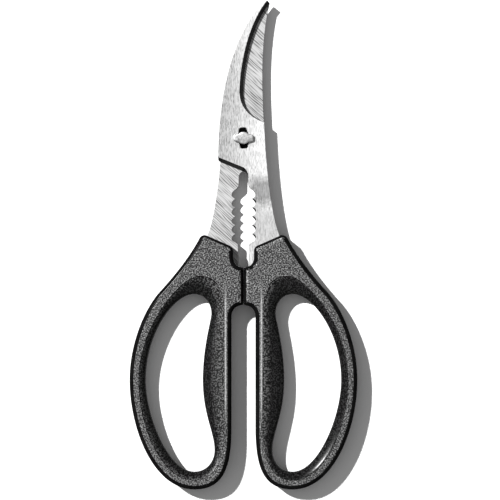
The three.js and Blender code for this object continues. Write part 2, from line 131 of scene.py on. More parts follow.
# Finger holes and the dish round each of them
HOLE_TOP = NOTCH_FLOOR - 10.7
HOLE_BOTTOM = HOLE_TOP - 73
HOLE_CROWN = 20.2
WIDEST_Y = HOLE_TOP - 35.3
OUTER_BAR = 6.6
LOOP_BOTTOM = HOLE_BOTTOM - 7.1
INNER_BAR_TOP = 8.3
INNER_BAR_TOP_DROP = 8
INNER_BAR_BULGE = 11.8
INNER_BAR_FOOT = 7
INNER_BAR_FOOT_RISE = 9
DISH_DEPTH = 3.6
DISH_LEAD = 50  # how steeply the dish leaves the face, on its rounded section
INNER_DISH_LEAD = 8  # on the inner bar
CREASE_FADE = (9, 17)  # where one passes into the other, across the handle
DISH_TOP = HOLE_TOP + 7.5
DISH_BOTTOM = LOOP_BOTTOM + 3.8
DISH_CROWN = 18.4
DISH_UPPER_TURN = 15.5
DISH_LOWER_TURN = 22
OUTER_RIM = 3.7
UPPER_INNER_RIM = 3.15
INNER_RIM = 2.8
CREASE_DROP = 0.3  # depth of the crease at the dish's edge
CREASE_SHARE = 0.05  # of the way from the dish's edge to the hole
LEAST_CREASE = 0.15
DISH_SECTIONS = 10
RING_POINTS = 56  # on each quarter of a finger hole

# Tangs
TANG_LENGTH = 33.3
TANG_TAPER = 16.3
TANG_WIDTH = 4.6
TANG_WALL = 1.7
TANG_SHOULDER_HALF_WIDTH = 15.9
TANG_SHOULDER_RISE = 1.7

# Fineness of the meshes
POINT_SPACING = 0.5  # on a drawn curve
FEWEST_STEPS = 6
BAR_SIDES = 96
LUG_SEGMENTS = 5
BUTTON_SEGMENTS = 6
ROUNDING_SEGMENTS = 9
MERGE_DISTANCE = TOLERANCE * MM
LEVEL = 0.999  # upward part of the normal above which a face counts as level
BLADE_SHARP_ANGLE = 20  # the turn from which an edge is shaded as a sharp one
PIVOT_SHARP_ANGLE = 40
HANDLE_SHARP_ANGLE = 35

# Steel. Marks, smudges and grain are counted to the metre. Shades go from nought, black, to one, white.
WAVE_LENGTH = pi / 10  # of a wave texture's lines at a scale of one
STEEL_SMUDGES = 70
SMUDGE_SHARE = 0.15  # of the marks' depth
PAINTED_LIGHT_REACH = 9  # either way from the pivot, over which the painted light on the front blade grows
SPOT_BORDER = 900
STEEL_BUMP = 0.4
POLISH_ROUGHNESS = (0.34, 0.44)
POLISH_RELIEF = 0.08
# Painted shade: the back blade darkened round the stud, where shade falls through the keyhole slot under the
# front blade and the lug.
PIVOT_PAINTED_SHADE = ((0, 0), 5.2, 0.6, 0.02)  # a spot's place, radius, fading border and how dark it is
# A darker patch on the front jaw.
JAW_DARK_PATCH = ((7.8, -21.6), 5.6, 4.5, 0.49)
# Painted shade: the front jaw's colour darker round its foot.
JAW_FOOT_PAINTED_SHADE = ((9.5, -36), 9, 9, 0.72)

# Plastic
EDGE_SLOPE = 0.97  # upward part of the normal below which a face counts as a rounded edge
MATING_EDGE_SLOPE = 0.85  # at the other handle and the blade
CREASE_FINISH = 0.8  # part of the crease's depth that is finished as an edge
PLASTIC_GRAIN = 1800
SPARK_GLINT_SPECKS = (0.485, 0.575)  # grain from which a speck starts to show, and at which it is full; the specks are painted glints, pale in the colour, and also set the roughness
SPARK_GLINT_TONE = 0.4  # of the painted glint specks, away from the painted ridge highlight
SPARK_SHADES = (0.002, 0.38)
SPARK_ROUGHNESS = (0.36, 0.22)  # between the specks and on them
SPARK_RELIEF = 0.26
SPARK_SMUDGES = 90
SMUDGE_DULLING = 0.05
SPARK_GLOSS = 0.4
RIDGE_HIGHLIGHT = (6.9, 7.8)  # painted highlight along the ridges of the inner bars, across the handle
RIDGE_ENDS = (-58, -118)
RIDGE_FADES = (10, 12)  # at its upper and its lower end
RIDGE_TONES = (0.5, 1)  # between the specks and on them
DISH_GLINT_SPECKS = (0.5, 0.59)
DISH_SHADES = (0.001, 0.12)
DISH_ROUGHNESS = (0.2, 0.36)  # deep in the dish and at its edge
DISH_RELIEF = 0.1
DISH_GLOSS = 0.22
RIGHT_DISH_SHADE_DEPTH = 0.5  # depth below the face over which the texture is smoothed down and the colour darkened, a painted shade; shallower, so darker, on the right handle, whose dish faces away from the key light
LEFT_DISH_SHADE_DEPTH = 1.1
LEAST_TEXTURE_AND_BRIGHTNESS = 0.15  # what is left of the texture and of the colour's brightness there
EDGE_SMUDGES = 160
EDGE_SHADES = (0.003, 0.006)
EDGE_ROUGHNESS = (0.14, 0.2)
EDGE_BUMP = 0.1
EDGE_RELIEF = 0.02
EDGE_GLOSS = 0.02

# The photograph's frame, straight from above
IMAGE_SIZE = 500
PIVOT_PIXEL = (243.5, 138)
PIXEL = 0.41
VIEW_PLANE = 7.5
LENS = 250
SENSOR = 36

# Floor and light
FLOOR_SIZE = 8  # in metres
FLOOR_DROP = 0.05
FLOOR_CLOUDS = 9
FLOOR_SHADES = (0.86, 0.9)
FLOOR_ROUGHNESS = 0.8
FLOOR_GLOSS = 0.1
KEY_SLOPE = (0.74, 0.58)  # sideways way of the key light's rays for each unit down
KEY_SPREAD = 2.5
KEY_STRENGTH = 7
ROOM_SHADES = (0.22, 0.38)  # the room's brightness round about, and overhead
ROOM_STOPS = (0.8, 0.95)  # of the way from straight down to straight up


class Pen:
    """Draws an outline as closely spaced points."""

    def __init__(self, x, y):
        self.points = [Vector((x, y))]

    @property
    def end(self):
        return self.points[-1]

    def line(self, x, y):
        self.points.append(Vector((x, y)))

    def cubic(self, first, second, end):
        reach = (first - self.end).length + (second - first).length + (end - second).length
        steps = max(FEWEST_STEPS, round(reach / POINT_SPACING))
        self.points += interpolate_bezier(self.end, first, second, end, steps + 1)[1:]

    def bend(self, corner, end):
        """A curve that heads for the corner and turns to the end."""
        self.cubic(self.end.lerp(corner, 2 / 3), end.lerp(corner, 2 / 3), end)

    def sweep(self, x, y, leaves, arrives, pulls):
        """A curve that leaves and arrives along the named axes."""
        start, way = self.end, Vector((x, y)) - self.end
        axes = {"x": Vector((1, 0)), "y": Vector((0, 1))}
        first = start + pulls[0] * axes[leaves] * way.dot(axes[leaves])
        second = Vector((x, y)) - pulls[1] * axes[arrives] * way.dot(axes[arrives])
        self.cubic(first, second, Vector((x, y)))

    def lean(self, end, leans, pulls):
        """A curve whose directions lean from +Y towards +X."""
        reach = (end - self.end).length
        out, back = (Vector((sin(radians(lean)), cos(radians(lean)))) for lean in leans)
        self.cubic(self.end + pulls[0] * reach * out, end - pulls[1] * reach * back, end)

    def corner(self, corner, before, after, setback):
        """A rounded corner between two straight sides."""
        start = corner + (before - corner).normalized() * setback
        self.line(*start)
        self.bend(corner, corner + (after - corner).normalized() * setback)

    def round_corner(self, corner, before, after, radius):
        """A corner rounded to a radius."""
        inwards, outwards = (corner - before).normalized(), (after - corner).normalized()
        turn = inwards.angle(outwards)
        setback = radius * tan(turn / 2)
        pull = 4 / 3 * radius * tan(turn / 4)
        start, stop = corner - setback * inwards, corner + setback * outwards
        self.line(*start)
        self.cubic(start + pull * inwards, stop - pull * outwards, stop)

    def arc(self, centre, radius, start, stop):
        steps = max(FEWEST_STEPS, round(abs(stop - start) * radius / POINT_SPACING))
        for step in range(steps + 1):
            angle = start + (stop - start) * step / steps
            self.line(centre[0] + radius * cos(angle), centre[1] + radius * sin(angle))


def spaced(points, count):
    """Evenly spaced points along a drawn line, without its last one."""
    lengths = [0]
    for a, b in zip(points, points[1:]):
        lengths.append(lengths[-1] + (b - a).length)
    result, leg = [], 0
    for i in range(count):
        target = lengths[-1] * i / count
        while lengths[leg + 1] < target:
            leg += 1
        share = (target - lengths[leg]) / max(lengths[leg + 1] - lengths[leg], TOLERANCE)
        result.append(points[leg].lerp(points[leg + 1], share))
    return result


def without_repeats(points):
    """The outline's points, with each that lies on the one before left out."""
    return [p for i, p in enumerate(points) if (p - points[i - 1]).length > TOLERANCE]


def key(point):
    """A point's place to a thousandth of a millimetre, by which it is found again."""
    return round(point.x, 3), round(point.y, 3)


def take(piece):
    """Selects one piece alone, for the operators that follow."""
    bpy.ops.object.select_all(action="DESELECT")
    piece.select_set(True)
    bpy.context.view_layer.objects.active = piece


def start_edit(piece):
    take(piece)
    bpy.ops.object.mode_set(mode="EDIT")
    bpy.ops.mesh.select_all(action="DESELECT")
    bpy.ops.mesh.select_mode(type="VERT")


def end_edit():
    bpy.ops.object.mode_set(mode="OBJECT")


def select_edges(piece, test):
    """Selects the edges whose two ends pass the test. The piece is in edit mode."""
    bpy.ops.mesh.select_mode(type="EDGE")
    bpy.ops.mesh.select_all(action="DESELECT")
    bpy.ops.object.mode_set(mode="OBJECT")
    mesh = piece.data
    for edge in mesh.edges:
        edge.select = all(test(mesh.vertices[i].co) for i in edge.vertices)
    bpy.ops.object.mode_set(mode="EDIT")


def select_faces(piece, test):
    """Selects the faces that pass the test. The piece is in edit mode."""
    bpy.ops.mesh.select_mode(type="FACE")
    bpy.ops.mesh.select_all(action="DESELECT")
    bpy.ops.object.mode_set(mode="OBJECT")
    for face in piece.data.polygons:
        face.select = test(face)
    bpy.ops.object.mode_set(mode="EDIT")


def close_up():
    """Merges doubles and turns the faces outwards. The piece is in edit mode."""
    bpy.ops.mesh.select_mode(type="VERT")
    bpy.ops.mesh.select_all(action="SELECT")
    bpy.ops.mesh.remove_doubles(threshold=MERGE_DISTANCE)
    bpy.ops.mesh.normals_make_consistent(inside=False)
    end_edit()


def plate(name, outline, *heights):
    """A flat plate, drawn out of a disc from the first height to each of the next ones in turn."""
    bpy.ops.object.select_all(action="DESELECT")
    bpy.ops.mesh.primitive_circle_add(vertices=len(outline), fill_type="NGON")
    piece = bpy.context.object
    piece.name = name
    for vertex, point in zip(piece.data.vertices, outline):
        vertex.co = Vector((*key(point), heights[0])) * MM
    start_edit(piece)
    bpy.ops.mesh.select_all(action="SELECT")
    for low, high in zip(heights, heights[1:]):
        bpy.ops.mesh.extrude_region_move(TRANSFORM_OT_translate={"value": (0, 0, (high - low) * MM)})
    close_up()
    return piece


def apply_modifier(piece, kind, **settings):
    take(piece)
    bpy.ops.object.modifier_add(type=kind)
    modifier = piece.modifiers[-1]
    for setting, value in settings.items():
        setattr(modifier, setting, value)
    bpy.ops.object.modifier_apply(modifier=modifier.name)


def cut(piece, cutter):
    apply_modifier(piece, "BOOLEAN", object=cutter, operation="DIFFERENCE", solver="EXACT")
    bpy.data.objects.remove(cutter)


def unite(piece, other):
    apply_modifier(piece, "BOOLEAN", object=other, operation="UNION", solver="EXACT")
    bpy.data.objects.remove(other)


def soften(piece, width, segments=2, sharper_than=35):
    """Breaks the sharp edges of a piece."""
    apply_modifier(
        piece,
        "BEVEL",
        width=width * MM,
        segments=segments,
        limit_method="ANGLE",
        angle_limit=radians(sharper_than),
    )


def smooth(piece, sharp_angle):
    take(piece)
    bpy.ops.object.shade_smooth_by_angle(angle=radians(sharp_angle))


def place_half(piece, front):
    """Lifts a half's piece to its height, turned over for the back half."""
    turn = Matrix() if front else Matrix.Rotation(pi, 4, "Y")
    piece.data.transform(Matrix.Translation((0, 0, HALF_THICKNESS * MM)) @ turn)


# Blades

def tang_sides():
    """The tang's corners, down its outer side and back up its inner side."""
    inner_x = BAR_X + TANG_WALL
    outer_x = inner_x + TANG_WIDTH
    end_y = HANDLE_TOP - TANG_LENGTH
    outer = [
        (JAW_FOOT_HALF_WIDTH, HANDLE_TOP + JAW_FOOT_RISE),
        (TANG_SHOULDER_HALF_WIDTH, HANDLE_TOP + TANG_SHOULDER_RISE),
        (outer_x, HANDLE_TOP - TANG_TAPER),
        (outer_x, end_y),
    ]
    inner = [
        (inner_x, end_y),
        (inner_x, ARCH_CROWN - TANG_WALL),
        (STRIP_GAP / 2, (NOTCH_FLOOR + ARCH_CROWN) / 2),
    ]
    return outer, inner


def tip_corner(side, end):
    """A corner of the slanted tip, which lies to either side of the pivot."""
    half = Vector((cos(radians(TIP_SLANT)), -sin(radians(TIP_SLANT)))) * TIP_WIDTH / 2
    return Vector((side * (TIP_OFFSET + end * half.x), TIP_HEIGHT + end * half.y))


FRONT_PROFILE = {
    "spine_x": -FRONT_SPINE_OFFSET,
    "spine_tip": tip_corner(1, -1),
    "spine_leans": (1, 49),
    "spine_pulls": (0.36, 0.28),
    "edge_x": EDGE_OFFSET,
    "edge_tip": tip_corner(1, 1),
    "edge_leans": (0, 40),
    "edge_pulls": (0.3, 0.29),
}
BACK_PROFILE = {
    "spine_x": -BACK_SPINE_OFFSET,
    "spine_tip": tip_corner(-1, 1),
    "spine_leans": (3.5, -13),
    "spine_pulls": (0.33, 0.33),
    "edge_x": EDGE_OVERLAP - EDGE_OFFSET,
    "edge_tip": tip_corner(-1, -1),
    "edge_leans": (0, -42),
    "edge_pulls": (0.3, 0.3),
}


def jaw_teeth(pen):
    """Draws the teeth. Gives how far inward the lower flank of each is ground on the outer face."""
    ground = {}
    tip_x = JAW_GAP / 2
    hollow_x = tip_x + TOOTH_DEPTH
    for tooth in range(TOOTH_COUNT):
        hollow = FIRST_HOLLOW - tooth * TOOTH_PITCH
        tip = hollow - TOOTH_LEAN * TOOTH_PITCH
        next_hollow = hollow - TOOTH_PITCH
        pen.bend(Vector((hollow_x, (hollow + tip) / 2)), Vector((tip_x, tip)))
        flank_start = len(pen.points)
        pen.bend(Vector((hollow_x, (tip + next_hollow) / 2)), Vector((hollow_x, next_hollow)))
        flank = pen.points[flank_start:]
        for i, point in enumerate(flank[:-1]):
            swell = sqrt(sin(pi * (i + 1) / len(flank)))
            ground[key(point)] = Vector((1, 1)).normalized() * TOOTH_BEVEL * swell
    pen.sweep(STRIP_GAP / 2, LAST_HOLLOW - STRIP_DROP, "y", "y", (0.5, 0.5))
    return ground


def blade_outline(profile):
    """The blade's outline, and how far inward each point of its ground edges is drawn on the outer face."""
    outer, inner = tang_sides()
    spine_foot = Vector((profile["spine_x"], -SPINE_DROP))
    shoulder = Vector((profile["spine_x"], -SHOULDER_DROP))
    throat_top = Vector((THROAT_WIDTH / 2, -THROAT_DROP))
    throat_foot = Vector((THROAT_WIDTH / 2, FLARE_Y))
    pen = Pen(*outer[-1])
    for corner in reversed(outer[:-1]):
        pen.line(*corner)
    pen.lean(Vector((HEEL_HALF_WIDTH, HEEL_HEIGHT)), (-JAW_FOOT_LEAN, -JAW_TOP_LEAN), (0.2, 0.42))
    heel = len(pen.points) - 1
    pen.lean(Vector((profile["edge_x"], EDGE_START)), (-HEEL_LEAN, 0), (0.34, 0.44))
    edge = len(pen.points) - 1
    pen.lean(profile["edge_tip"], profile["edge_leans"], profile["edge_pulls"])
    ground = ground_edge(pen.points[heel:], edge - heel)
    pen.line(*profile["spine_tip"])
    down_leans = [lean + 180 for lean in reversed(profile["spine_leans"])]
    pen.lean(spine_foot, down_leans, profile["spine_pulls"][::-1])
    shoulder_start = len(pen.points)
    pen.corner(shoulder, spine_foot, throat_top, SHOULDER_CORNER)
    shoulder_end = len(pen.points)
    pen.corner(throat_top, shoulder, throat_foot, THROAT_CORNER)
    along = (throat_top - shoulder).normalized()
    upward = Vector((0, SHOULDER_BEVEL / along.x))
    ground.update({key(point): upward for point in pen.points[shoulder_start:shoulder_end]})
    throat_arc = pen.points[shoulder_end:]
    for i, point in enumerate(throat_arc):
        ground[key(point)] = upward * (1 - i / (len(throat_arc) - 1))
    pen.line(*throat_foot)
    pen.sweep(JAW_GAP / 2 + TOOTH_DEPTH, FIRST_HOLLOW, "y", "y", (0.5, 0.5))
    ground.update(jaw_teeth(pen))
    for corner in reversed(inner):
        pen.line(*corner)
    return without_repeats(pen.points), ground


def ground_edge(points, heel_length):
    """How far inward the cutting edge's points are drawn. The bevel widens along the heel."""
    inward = {}
    for i, point in enumerate(points):
        before, after = points[max(i - 1, 0)], points[min(i + 1, len(points) - 1)]
        along = (after - before).normalized()
        inward[key(point)] = Vector((-along.y, along.x)) * BEVEL_WIDTH * min(1, i / heel_length)
    return inward


def grind(piece, ground):
    """Draws the top of the ground edges in, which leaves bevels, and gives these their own material, a
    near-black steel that is painted shade.
    """
    top = (BLADE_TOP - TOLERANCE) * MM
    moved = set()
    for vertex in piece.data.vertices:
        shift = ground.get(key(vertex.co / MM))
        if shift and vertex.co.z > top:
            vertex.co += shift.to_3d() * MM
            moved.add(vertex.index)
    for face in piece.data.polygons:
        on_bevel = len(face.vertices) == 4 and len(moved.intersection(face.vertices)) == 2
        face.material_index = int(on_bevel)


def blade(name, profile, cutter, front):
    outline, ground = blade_outline(profile)
    piece = plate(name, outline, BLADE_BASE, BLADE_BASE + BEVEL_LAND, BLADE_TOP)
    grind(piece, ground)
    cut(piece, cutter)
    soften(piece, BLADE_SOFTENING, segments=1)
    smooth(piece, BLADE_SHARP_ANGLE)
    place_half(piece, front)
    return piece


# Pivot

def lug_outline(half_length, half_root, half_end, boss):
    """A round boss with two tapered wings along X, rounded at their corners."""
    root = asin(half_root / boss)
    corner_x, corner_y = half_length - LUG_CORNER, half_end - LUG_CORNER
    pen = Pen(boss * cos(root), -half_root)
    for side, turn in ((1, 0), (-1, pi)):
        pen.line(side * corner_x, -side * half_end)
        pen.arc((side * corner_x, -side * corner_y), LUG_CORNER, turn - pi / 2, turn)
        pen.arc((side * corner_x, side * corner_y), LUG_CORNER, turn, turn + pi / 2)
        pen.line(side * boss * cos(root), side * half_root)
        pen.arc((0, 0), boss, turn + root, turn + pi - root)
    return without_repeats(pen.points)


def keyhole_cutter():
    slot = lug_outline(
        LUG_LENGTH / 2 + LUG_CLEARANCE,
        LUG_ROOT_WIDTH / 2 + LUG_CLEARANCE,
        LUG_END_WIDTH / 2 + LUG_CLEARANCE,
        NECK_DIAMETER / 2 + NECK_CLEARANCE,
    )
    cutter = plate("keyhole", slot, BLADE_BASE - CUT_MARGIN, BLADE_TOP + CUT_MARGIN)
    cutter.data.transform(Matrix.Rotation(radians(180 - RELEASE_ANGLE), 4, "Z"))
    return cutter


def square_outline(side):
    half = side / 2
    return [Vector(corner) for corner in ((half, -half), (half, half), (-half, half), (-half, -half))]


def shank_cutter():
    outline = square_outline(SHANK_SIDE + 2 * SHANK_CLEARANCE)
    return plate("shank_hole", outline, BLADE_BASE - CUT_MARGIN, BLADE_TOP + CUT_MARGIN)


def round_bar(name, diameter, low, high):
    bpy.ops.object.select_all(action="DESELECT")
    bpy.ops.mesh.primitive_cylinder_add(
        vertices=BAR_SIDES,
        radius=diameter / 2 * MM,
        depth=(high - low) * MM,
    )
    bar = bpy.context.object
    bar.name = name
    bar.data.transform(Matrix.Translation((0, 0, (low + high) / 2 * MM)))
    return bar


def crown_face(piece, height, steps):
    """Insets the flat top of a piece again and again, each time a little higher, so that it is crowned."""
    start_edit(piece)
    select_faces(piece, lambda face: face.normal.z > LEVEL and face.center.z > (height - TOLERANCE) * MM)
    for inset, rise in steps:
        bpy.ops.mesh.inset(thickness=inset * MM, depth=rise * MM)
    end_edit()


def pivot_stud():
    outline = lug_outline(LUG_LENGTH / 2, LUG_ROOT_WIDTH / 2, LUG_END_WIDTH / 2, NECK_DIAMETER / 2)
    lug = plate("lug", outline, LUG_BASE, LUG_BASE + LUG_HEIGHT)
    soften(lug, LUG_ROUNDING, segments=LUG_SEGMENTS, sharper_than=60)
    crown_face(lug, LUG_BASE + LUG_HEIGHT, LUG_CROWN)
    neck_base = HALF_THICKNESS - BLADE_BASE + SHANK_CLEARANCE
    neck = round_bar("neck", NECK_DIAMETER, neck_base, LUG_BASE + LUG_ROUNDING)
    shank = plate("shank", square_outline(SHANK_SIDE), BUTTON_HEIGHT + SHANK_CLEARANCE, LUG_BASE)
    tail = round_bar("tail", TAIL_DIAMETER, 0, BUTTON_HEIGHT + 2 * SHANK_CLEARANCE)
    for length in (neck, shank, tail):
        unite(lug, length)
    lug.name = "pivot_bayonet_stud"
    smooth(lug, PIVOT_SHARP_ANGLE)
    return lug


def rivet_button():
    button = round_bar("pivot_back_button", BUTTON_DIAMETER, 0, BUTTON_HEIGHT)
    start_edit(button)
    select_edges(button, lambda point: point.z < TOLERANCE * MM)
    bpy.ops.mesh.bevel(offset=BUTTON_ROUNDING * MM, segments=BUTTON_SEGMENTS, affect="EDGES")
    end_edit()
    bore = TAIL_DIAMETER + 2 * SHANK_CLEARANCE
    cut(button, round_bar("tail_bore", bore, -CUT_MARGIN, BUTTON_HEIGHT + CUT_MARGIN))
    smooth(button, PIVOT_SHARP_ANGLE)
    return button


# Handles

def on_face(point):
    """Whether a point of a half-modelled handle lies in its upper face."""
    return point.z > (HALF_THICKNESS - TOLERANCE) * MM


def handle_outline():
    """Down the notch and the inner bar, round the loop and back along the top."""
    notch_x = NOTCH_WIDTH / 2
    notch_centre = NOTCH_FLOOR + notch_x
    arch_centre = ARCH_CROWN - BAR_X
    contact_x = CONTACT_GAP / 2
    inner_corner = Vector((notch_x, HANDLE_TOP))
    rise = (HANDLE_TOP_HALF_WIDTH - notch_x) * tan(radians(HANDLE_TOP_SLOPE))
    top_corner = Vector((HANDLE_TOP_HALF_WIDTH, HANDLE_TOP + rise))
    hollow = top_corner.lerp(WAIST, 0.5) - Vector((2 * NECK_HOLLOW, 0))

    pen = Pen(notch_x, notch_centre)
    pen.arc((0, notch_centre), notch_x, 0, -acos(CONTACT_CORNER / notch_x))
    pen.line(contact_x, notch_centre - sqrt(notch_x**2 - contact_x**2))
    pen.line(contact_x, arch_centre + sqrt(BAR_X**2 - contact_x**2))
    pen.arc((0, arch_centre), BAR_X, acos(CONTACT_CORNER / BAR_X), 0)
    pen.line(BAR_X, HOLE_BOTTOM + 2 * INNER_BAR_FOOT_RISE)
    pen.sweep(HOLE_CROWN, LOOP_BOTTOM, "y", "x", (0.65, 0.78))
    pen.sweep(LOOP_HALF_WIDTH, WIDEST_Y, "x", "y", (0.63, 0.445))
    pen.lean(WAIST, (0, -WAIST_LEAN), (0.445, 0.185))
    pen.bend(hollow, top_corner + (hollow - top_corner).normalized() * HANDLE_CORNER)
    pen.round_corner(top_corner, hollow, inner_corner, HANDLE_CORNER)
    pen.round_corner(inner_corner, top_corner, Vector((notch_x, notch_centre)), HANDLE_CORNER)
    return without_repeats(pen.points)


def ring(start, quarters):
    """Evenly spaced points round a loop of quarters, each drawn by its own strokes."""
    points = []
    corner = start
    for strokes in quarters:
        pen = Pen(*corner)
        for stroke in strokes:
            if len(stroke) == 2:
                pen.line(*stroke)
            else:
                pen.sweep(*stroke)
        corner = pen.end
        points += spaced(pen.points, RING_POINTS)
    return points


def finger_hole():
    return ring((HOLE_CROWN, HOLE_TOP), (
        (
            (BAR_X + INNER_BAR_TOP, HOLE_TOP - INNER_BAR_TOP_DROP, "x", "y", (0.64, 0.5)),
            (BAR_X + INNER_BAR_BULGE, WIDEST_Y, "y", "y", (0.1, 0.52)),
        ),
        (
            (BAR_X + INNER_BAR_FOOT, HOLE_BOTTOM + INNER_BAR_FOOT_RISE, "y", "y", (0.5, 0.25)),
            (HOLE_CROWN, HOLE_BOTTOM, "y", "x", (0.55, 0.6)),
        ),
        ((LOOP_HALF_WIDTH - OUTER_BAR, WIDEST_Y, "x", "y", (0.525, 0.4)),),
        ((HOLE_CROWN, HOLE_TOP, "y", "x", (0.55, 0.41)),),
    ))


def dish_rim():
    inner_x = BAR_X + INNER_RIM
    return ring((DISH_CROWN, DISH_TOP), (
        (
            (BAR_X + UPPER_INNER_RIM, DISH_TOP - DISH_UPPER_TURN, "x", "y", (0.79, 0.645)),
            (inner_x, WIDEST_Y),
        ),
        ((inner_x, DISH_BOTTOM + DISH_LOWER_TURN), (HOLE_CROWN, DISH_BOTTOM, "y", "x", (0.6, 0.7))),
        ((LOOP_HALF_WIDTH - OUTER_RIM, WIDEST_Y, "x", "y", (0.6, 0.45)),),
        ((DISH_CROWN, DISH_TOP, "y", "x", (0.54, 0.27)),),
    ))


def crease(x):
    """How much of a crease the dish has at its edge. On the inner bar it runs out softly instead."""
    start, stop = CREASE_FADE
    share = min(max((x - start) / (stop - start), 0), 1)
    return max(LEAST_CREASE, share * share * (3 - 2 * share))


def dish_levels(x):
    """Shares of the way from the dish's edge to the hole, with the depth below the face at each."""
    lead = radians(INNER_DISH_LEAD + (DISH_LEAD - INNER_DISH_LEAD) * crease(x))
    drop = CREASE_DROP * crease(x)
    levels = [(0, 0)]
    for section in range(DISH_SECTIONS + 1):
        angle = lead + section / DISH_SECTIONS * (pi / 2 - lead)
        share = (sin(angle) - sin(lead)) / (1 - sin(lead))
        depth = 1 - cos(angle) / cos(lead)
        levels.append((CREASE_SHARE + share * (1 - CREASE_SHARE), drop + depth * (DISH_DEPTH - drop)))
    return levels


def finger_opening():
    """The cutter for a finger hole and its dish: a prism on the dish's rim, drawn in ring by ring."""
    rim, hole = dish_rim(), finger_hole()
    heights = [-CUT_MARGIN, *range(DISH_SECTIONS + 2), DISH_SECTIONS + 2 + CUT_MARGIN]
    cutter = plate("finger_opening", rim, *heights)
    drawn_in = {}
    for point, goal in zip(rim, hole):
        levels = [(1, HALF_THICKNESS + CUT_MARGIN), *reversed(dish_levels(point.x))]
        levels.append((0, -CUT_MARGIN))
        for height, (share, depth) in zip(heights, levels):
            drawn_in[(*key(point), height)] = (*point.lerp(goal, share), HALF_THICKNESS - depth)
    for vertex in cutter.data.vertices:
        place = vertex.co / MM
        vertex.co = Vector(drawn_in[(*key(place), round(place.z))]) * MM
    return cutter


def inside(point, outline):
    """Whether a point lies within an outline, by the sides of it that a line to the left crosses."""
    crossings = 0
    for a, b in zip(outline, outline[1:] + outline[:1]):
        if (a.y > point.y) != (b.y > point.y):
            crossings += a.x + (point.y - a.y) / (b.y - a.y) * (b.x - a.x) < point.x
    return crossings % 2 == 1


def between(value, low, high, margin):
    return low + margin < value < high - margin


def plastic_at(place, normal, rim):
    """The finish of a handle's face: nought for the textured face, one for the edges, two for the dish."""
    depth = HALF_THICKNESS - abs(place.z)
    if depth > TOLERANCE and inside(place, rim):
        creased = crease(place.x)
        in_crease = creased > LEAST_CREASE and depth < CREASE_FINISH * CREASE_DROP * creased
        return 1 if in_crease else 2
    inmost = place.x < CONTACT_GAP / 2 + HANDLE_CORNER
    at_contact = inmost and between(place.y, ARCH_CROWN, NOTCH_FLOOR, HANDLE_CORNER)
    under_blade = place.y > HANDLE_TOP - HANDLE_CORNER and normal.y > normal.x
    slope = MATING_EDGE_SLOPE if at_contact or under_blade else EDGE_SLOPE
    return int(abs(normal.z) < slope)


def handle(name):
    """One handle. Its upper half is modelled and then mirrored in the middle plane."""
    piece = plate(name, handle_outline(), 0, HALF_THICKNESS)
    start_edit(piece)
    select_edges(piece, on_face)
    bpy.ops.mesh.bevel(offset=HANDLE_ROUNDING * MM, segments=ROUNDING_SEGMENTS, affect="EDGES")
    select_faces(piece, lambda face: face.normal.z > LEVEL)
    bpy.ops.mesh.inset(thickness=FACE_BORDER * MM, depth=0)
    end_edit()
    cut(piece, finger_opening())
    start_edit(piece)
    select_faces(piece, lambda face: face.normal.z < -LEVEL)
    bpy.ops.mesh.delete(type="ONLY_FACE")
    end_edit()
    apply_modifier(piece, "MIRROR", use_axis=(False, False, True), merge_threshold=MERGE_DISTANCE)
    start_edit(piece)
    close_up()
    rim = dish_rim()
    for face in piece.data.polygons:
        face.material_index = plastic_at(face.center / MM, face.normal, rim)
    smooth(piece, HANDLE_SHARP_ANGLE)
    apply_modifier(piece, "WEIGHTED_NORMAL", keep_sharp=True)
    return piece


# Materials

def new_group(name, inputs, outputs):
    """An empty shader node group with the sockets that are named."""
    group = bpy.data.node_groups.new(name, "ShaderNodeTree")
    for socket, kind in inputs.items():
        group.interface.new_socket(socket, in_out="INPUT", socket_type=kind)
    for socket, kind in outputs.items():
        group.interface.new_socket(socket, in_out="OUTPUT", socket_type=kind)
    return group, group.nodes.new("NodeGroupInput"), group.nodes.new("NodeGroupOutput")


def add_node(tree, kind, settings=None, **values):
    """A node with its settings made and its input sockets filled, each with a value or a link."""
    made = tree.nodes.new(kind)
    for setting, value in (settings or {}).items():
        setattr(made, setting, value)
    for socket, value in values.items():
        fill_socket(tree, made.inputs[socket.replace("_", " ")], value)
    return made


def fill_socket(tree, target, value):
    if isinstance(value, bpy.types.NodeSocket):
        tree.links.new(value, target)
    else:
        target.default_value = value


def math_node(tree, operation, *values):
    made = tree.nodes.new("ShaderNodeMath")
    made.operation = operation
    for target, value in zip(made.inputs, values):
        fill_socket(tree, target, value)
    return made.outputs[0]


def remap(tree, value, from_range, to_range):
    made = add_node(
        tree,
        "ShaderNodeMapRange",
        Value=value,
        From_Min=from_range[0],
        From_Max=from_range[1],
        To_Min=to_range[0],
        To_Max=to_range[1],
    )
    return made.outputs["Result"]


def noise(tree, vector, scale, detail, roughness=0.5):
    made = add_node(
        tree,
        "ShaderNodeTexNoise",
        Vector=vector,
        Scale=scale,
        Detail=detail,
        Roughness=roughness,
    )
    return made.outputs["Fac"]


